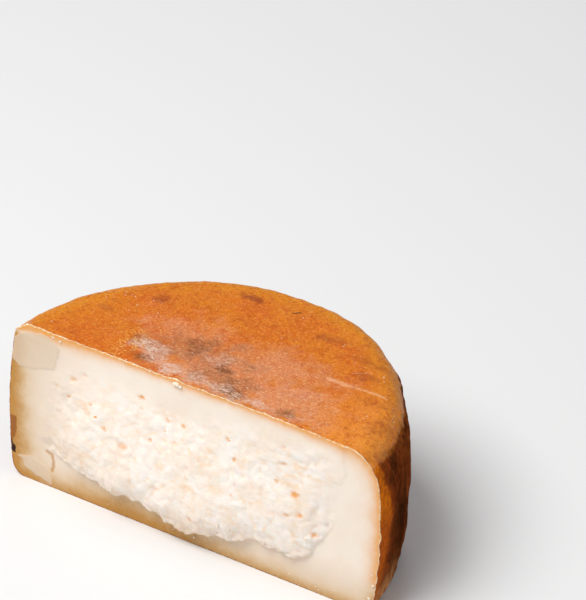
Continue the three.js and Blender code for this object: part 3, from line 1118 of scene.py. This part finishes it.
def rind_material(settings, name, shine_level):
    """Oiled orange-brown rind: salmon and golden zones, painted sheen, highlights and glints, mould and
    bloom on top, dark brown sides.
    """
    r = Recipe(name)
    cloud = r.noise(45, 4, 0.6)
    blotch = r.noise(160, 5, 0.65, distortion=0.4)
    mottle = r.noise(420, 5, 0.75)
    grain = r.noise(900, 4, 0.75)
    fibres = r.noise(620, 5, 0.7, stretch=(0.6, 1.3, 1), distortion=1.0)
    streaks = r.noise(260, 5, 0.65, stretch=(1, 1, 0.3), distortion=0.5)
    scratch = r.span(r.plus(r.measure("scratch"), r.times(mottle, 1.4)), 1.7, 0.8)
    top = top_ground(r, cloud, blotch, mottle, grain, settings)
    top = top_marks(r, fibres, mottle, scratch, settings, top)
    side = side_colour(r, cloud, blotch, mottle, streaks, settings)

    border = r.plus(r.measure("over_side"), r.plus(r.times(mottle, 2.4), r.times(blotch, 4)))
    is_top = r.span(border, 0.9, 5.3)
    colour = r.blend(is_top, side, top)
    gap = r.plus(r.measure("from_cut"), r.times(grain, 1.4))
    rim_line = r.times(r.span(gap, 1.2, 0.8), r.span(is_top, 0, 1, 0.35, 1))
    colour = r.blend(rim_line, colour, settings.burr)
    # Painted glints: small bright spots painted into the colour of the top, which also raise the bump.
    glints = r.times(r.span(r.grains(400), 0.2, 0.1), r.span(r.noise(90, 3, 0.7), 0.54, 0.66))
    glints = r.times(glints, r.times(is_top, 0.8))
    colour = r.blend(glints, colour, settings.painted_glint)

    shine = r.span(blotch, 0.3, 0.7, 0.3, 0.45)
    rough = r.plus(shine, r.times(r.plus(r.measure("mould"), r.measure("bloom")), 0.15))
    relief = r.bump(grain, 0.001, 0.7)
    relief = r.bump(fibres, 0.0009, 0.35, relief)
    relief = r.bump(mottle, 0.0012, 0.45, relief)
    relief = r.bump(r.plus(scratch, glints), 0.0004, 0.5, relief)
    return r.finish({
        "Base Color": colour, "Roughness": rough, "Normal": relief, "Specular IOR Level": shine_level,
        "Subsurface Weight": 0.05, "Subsurface Radius": (1.0, 0.4, 0.15), "Subsurface Scale": 0.001,
    })


# ---------------------------------------------------------------- studio


# The soft boxes: place, the point that each is turned to, and width.
KEY_BOX = (-0.45, -0.8, 1.6), (0, 0, 0.04), 1.1
BACK_BOX = (-0.9, 1.45, 1.05), (0, 0, 0.08), 0.6
SIDE_BOX = (1.5, 0.5, 0.9), (0, 0, 0.04), 0.9


def add_floor(settings):
    """A plain pale floor, far larger than the view."""
    half = settings.floor_width / 2
    low = CAD_BOX[0].z
    corners = [(-half, -half, low), (half, -half, low), (half, half, low), (-half, half, low)]
    mesh = bpy.data.meshes.new("floor")
    mesh.from_pydata(corners, [], [(0, 1, 2, 3)])
    paint = Recipe("floor_paint").finish({"Base Color": settings.floor_colour, "Roughness": 0.9})
    mesh.materials.append(paint)
    floor = bpy.data.objects.new("floor", mesh)
    bpy.context.scene.collection.objects.link(floor)


def add_light(name, place, aim, width, power):
    """A square soft box at a place, turned to a point."""
    light = bpy.data.lights.new(name, "AREA")
    light.shape = "SQUARE"
    light.size = width
    light.energy = power
    holder = bpy.data.objects.new(name, light)
    holder.location = place
    holder.rotation_euler = (Vector(aim) - Vector(place)).to_track_quat("-Z", "Y").to_euler()
    bpy.context.scene.collection.objects.link(holder)


def add_world(settings):
    """Even white light from all round."""
    world = bpy.data.worlds.new("studio")
    world.use_nodes = True
    background = world.node_tree.nodes["Background"]
    background.inputs["Color"].default_value = (1, 1, 1, 1)
    background.inputs["Strength"].default_value = settings.room_light
    bpy.context.scene.world = world


def add_camera(settings):
    """The camera stands off its aim point along an azimuth and an elevation, with a slight roll."""
    azimuth, elevation, roll = settings.azimuth, settings.elevation, settings.roll
    back = Vector((
        math.sin(azimuth) * math.cos(elevation),
        -math.cos(azimuth) * math.cos(elevation),
        math.sin(elevation),
    ))
    right = Vector((math.cos(azimuth), math.sin(azimuth), 0))
    up = back.cross(right)
    rolled_right = math.cos(roll) * right + math.sin(roll) * up
    rolled_up = math.cos(roll) * up - math.sin(roll) * right
    data = bpy.data.cameras.new("camera")
    data.sensor_width = 36
    data.lens = settings.lens
    data.clip_start = 0.05
    data.clip_end = 50
    camera = bpy.data.objects.new("camera", data)
    turn = Matrix((rolled_right, rolled_up, back)).transposed()
    camera.matrix_world = Matrix.Translation(Vector(settings.aim) + settings.distance * back) @ turn.to_4x4()
    bpy.context.scene.collection.objects.link(camera)
    bpy.context.scene.camera = camera


# ---------------------------------------------------------------- the add-on


def colour_property(label, words, *levels):
    """A colour that the user may change, given as it looks on a screen."""
    return FloatVectorProperty(
        name=label, description=words, default=srgb(*levels), size=3, subtype="COLOR", min=0, max=1,
    )


def length_property(label, words, metres):
    """A length that the user may change."""
    return FloatProperty(name=label, description=words, default=metres, unit="LENGTH", subtype="DISTANCE")


def share_property(label, words):
    """A height that the user may change, as a share of the real piece's."""
    return FloatProperty(name=label, description=words + ", against the real piece", default=1.0)


def count_property(label, words, number):
    """A number of things that the user may change."""
    return IntProperty(name=label, description=words, default=number)


def angle_property(label, words, degrees):
    """An angle that the user may change."""
    turn = math.radians(degrees)
    return FloatProperty(name=label, description=words, default=turn, unit="ROTATION", subtype="ANGLE")


def power_property(label, words, watts):
    """The power of a light, which the user may change."""
    return FloatProperty(name=label, description=words, default=watts, unit="POWER")


class CheeseSettings(bpy.types.PropertyGroup):
    """Sizes and colours of the half wheel."""

    diameter: length_property(
        "Diameter", "Width of the wheel at its widest", round(CAD_BOX[1].x - CAD_BOX[0].x, 4),
    )
    height: length_property("Height", "Height of the wheel", 0.084)
    torn_height: share_property("Torn mass", "How far the torn paste stands out")
    crag_height: share_property("Crags", "Height of the crags of the torn paste")
    rind_height: share_property("Rind lumps", "Height of the rind's lumps")
    burr_height: length_property("Burr", "Height of the burr of rind along the cut", 0.0003)
    crumb_count: count_property("Crumbs", "Number of small crumbs on the cut", 40)
    steps_along: count_property("Steps along", "Grid steps along the cut", 264)
    steps_deep: count_property("Steps deep", "Grid steps from the cut to the back", 64)
    steps_up: count_property("Steps up", "Grid steps from base to top", 112)

    paste_cut: colour_property("Cut paste", "Smoothly cut paste", 249, 235, 221)
    paste_torn: colour_property("Torn paste", "Torn paste", 252, 241, 232)
    paste_cream: colour_property("Cream", "Clouds in the paste", 245, 226, 208)
    # Peach of the paste's patches and specks, also used as the painted shade in its creases.
    peach_and_crease_shade: colour_property("Peach", "Creases and short lines of the paste", 243, 204, 160)
    # Tan of the pits, which also stands in for the shade in them.
    pit_tan_and_shade: colour_property("Pits", "Pits in the paste", 236, 164, 86)
    paste_margin: colour_property("Margin", "Paste beside the rind at the left and the base", 194, 141, 70)
    paste_margin_light: colour_property("Light margin", "Where that margin fades out", 221, 192, 152)
    paste_margin_warm: colour_property("Warm margin", "Paste beside the rind elsewhere", 232, 164, 84)
    paste_dull: colour_property("Dull paste", "Paste of the left end and near the base", 230, 211, 190)
    paste_brown: colour_property("Brown paste", "Brown patch at the left edge", 160, 98, 40)
    paste_flake: colour_property("Flakes", "Thin flakes left by the knife", 222, 201, 177)
    rind_orange: colour_property("Orange", "Rind on top", 222, 122, 16)
    rind_deep_orange: colour_property("Deep orange", "Clouds of the rind on top", 216, 104, 10)
    # Gold of the rim, which also stands in for its highlight.
    gold_and_rim_highlight: colour_property("Gold", "Rind near the rim", 224, 142, 18)
    # Salmon of the rind, which also carries painted sheen.
    salmon_and_sheen: colour_property("Salmon", "Dull zone of the rind", 226, 144, 100)
    # Bright speckles: partly the grain's colour, partly painted highlights.
    grain_highlight: colour_property("Glow", "Bright speckles of the rind", 250, 172, 70)
    rind_pale: colour_property("Pale", "Pale speckles of the dull zone and scratches", 248, 196, 154)
    # Colour of the painted glints.
    painted_glint: colour_property("Glints", "Small bright spots", 255, 236, 214)
    rind_red: colour_property("Red", "Reddish mottling", 190, 74, 8)
    rind_smudge: colour_property("Smudge", "Red-brown smudges", 152, 62, 22)
    mould: colour_property("Mould", "Grey-brown mould", 124, 74, 36)
    bloom: colour_property("Bloom", "Whitish bloom", 232, 204, 186)
    granules: colour_property("Granules", "Glossy yellow granules", 248, 200, 104)
    rind_side_red: colour_property("Side red", "Soft edge of the orange of the side", 196, 92, 34)
    rind_brown: colour_property("Brown", "Rind of the side", 142, 66, 28)
    rind_umber: colour_property("Umber", "Light clouds and streaks of the side", 164, 90, 42)
    rind_dark: colour_property("Dark", "Darkest rind", 54, 28, 14)
    rind_side_orange: colour_property("Side orange", "Side beside the cut", 244, 134, 24)
    rind_low: colour_property("Low side", "Side near the base beside the cut", 216, 150, 96)
    # Painted sheen of the top's right end.
    amber_sheen: colour_property("Amber", "Bright right end of the top", 242, 146, 48)
    burr: colour_property("Burr", "Pale thin edge of the rind at the cut", 252, 232, 198)


class StudioSettings(bpy.types.PropertyGroup):
    """Floor, light and camera."""

    floor_width: length_property("Floor", "Width of the floor", 14)
    floor_colour: colour_property("Floor colour", "Paint of the floor", 233, 233, 233)
    room_light: FloatProperty(name="Room light", description="Strength of the even light", default=0.3)
    key_light: power_property("Key light", "Power of the main soft box", 32)
    back_light: power_property("Back light", "Power of the soft box behind", 4)
    side_light: power_property("Side light", "Power of the soft box beside", 2.5)
    azimuth: angle_property("Azimuth", "How far round to the right the camera stands", 31.33)
    elevation: angle_property("Elevation", "How far up the camera stands", 31.67)
    roll: angle_property("Roll", "Tilt of the camera", 2.29)
    distance: length_property("Distance", "From the camera to its aim point", 1.8603)
    lens: FloatProperty(name="Lens", description="Focal length", unit="CAMERA", default=248.34)
    aim: FloatVectorProperty(
        name="Aim", description="Point at the middle of the picture", unit="LENGTH", subtype="XYZ", size=3,
        default=(0.016, 0.0100, 0.1067),
    )


class PECORINO_OT_half_wheel(bpy.types.Operator):
    """Build the half wheel with its rind and its torn cut face"""

    bl_idname = "pecorino.half_wheel"
    bl_label = "Half wheel"

    def execute(self, context):
        half_wheel(context.scene.pecorino_cheese)
        return {"FINISHED"}


class PECORINO_OT_crumbs(bpy.types.Operator):
    """Build the crumbs of paste that lie on the cut"""

    bl_idname = "pecorino.crumbs"
    bl_label = "Crumbs"

    def execute(self, context):
        crumbs(context.scene.pecorino_cheese)
        return {"FINISHED"}


class PECORINO_OT_studio(bpy.types.Operator):
    """Lay the floor and set the light and the camera"""

    bl_idname = "pecorino.studio"
    bl_label = "Studio"

    def execute(self, context):
        settings = context.scene.pecorino_studio
        add_floor(settings)
        add_world(settings)
        add_light("key", *KEY_BOX, settings.key_light)
        add_light("back", *BACK_BOX, settings.back_light)
        add_light("side", *SIDE_BOX, settings.side_light)
        add_camera(settings)
        context.scene.view_settings.view_transform = "Standard"
        return {"FINISHED"}


class PECORINO_PT_panel(bpy.types.Panel):
    """Lists the half wheel's settings and operators"""

    bl_label = "Pecorino"
    bl_space_type = "VIEW_3D"
    bl_region_type = "UI"
    bl_category = "Pecorino"

    def draw(self, context):
        for settings in (context.scene.pecorino_cheese, context.scene.pecorino_studio):
            for label in settings.__annotations__:
                self.layout.prop(settings, label)
        for operator in (PECORINO_OT_half_wheel, PECORINO_OT_crumbs, PECORINO_OT_studio):
            self.layout.operator(operator.bl_idname)


CLASSES = (
    CheeseSettings,
    StudioSettings,
    PECORINO_OT_half_wheel,
    PECORINO_OT_crumbs,
    PECORINO_OT_studio,
    PECORINO_PT_panel,
)


def register():
    """Adds the add-on's classes and its two groups of settings."""
    for part in CLASSES:
        bpy.utils.register_class(part)
    bpy.types.Scene.pecorino_cheese = PointerProperty(type=CheeseSettings)
    bpy.types.Scene.pecorino_studio = PointerProperty(type=StudioSettings)


def unregister():
    """Takes all of it out again."""
    del bpy.types.Scene.pecorino_studio
    del bpy.types.Scene.pecorino_cheese
    for part in reversed(CLASSES):
        bpy.utils.unregister_class(part)


def main():
    """Builds the scene with the add-on's operators."""
    register()
    bpy.ops.pecorino.half_wheel()
    bpy.ops.pecorino.crumbs()
    bpy.ops.pecorino.studio()


if __name__ == "__main__":
    main()
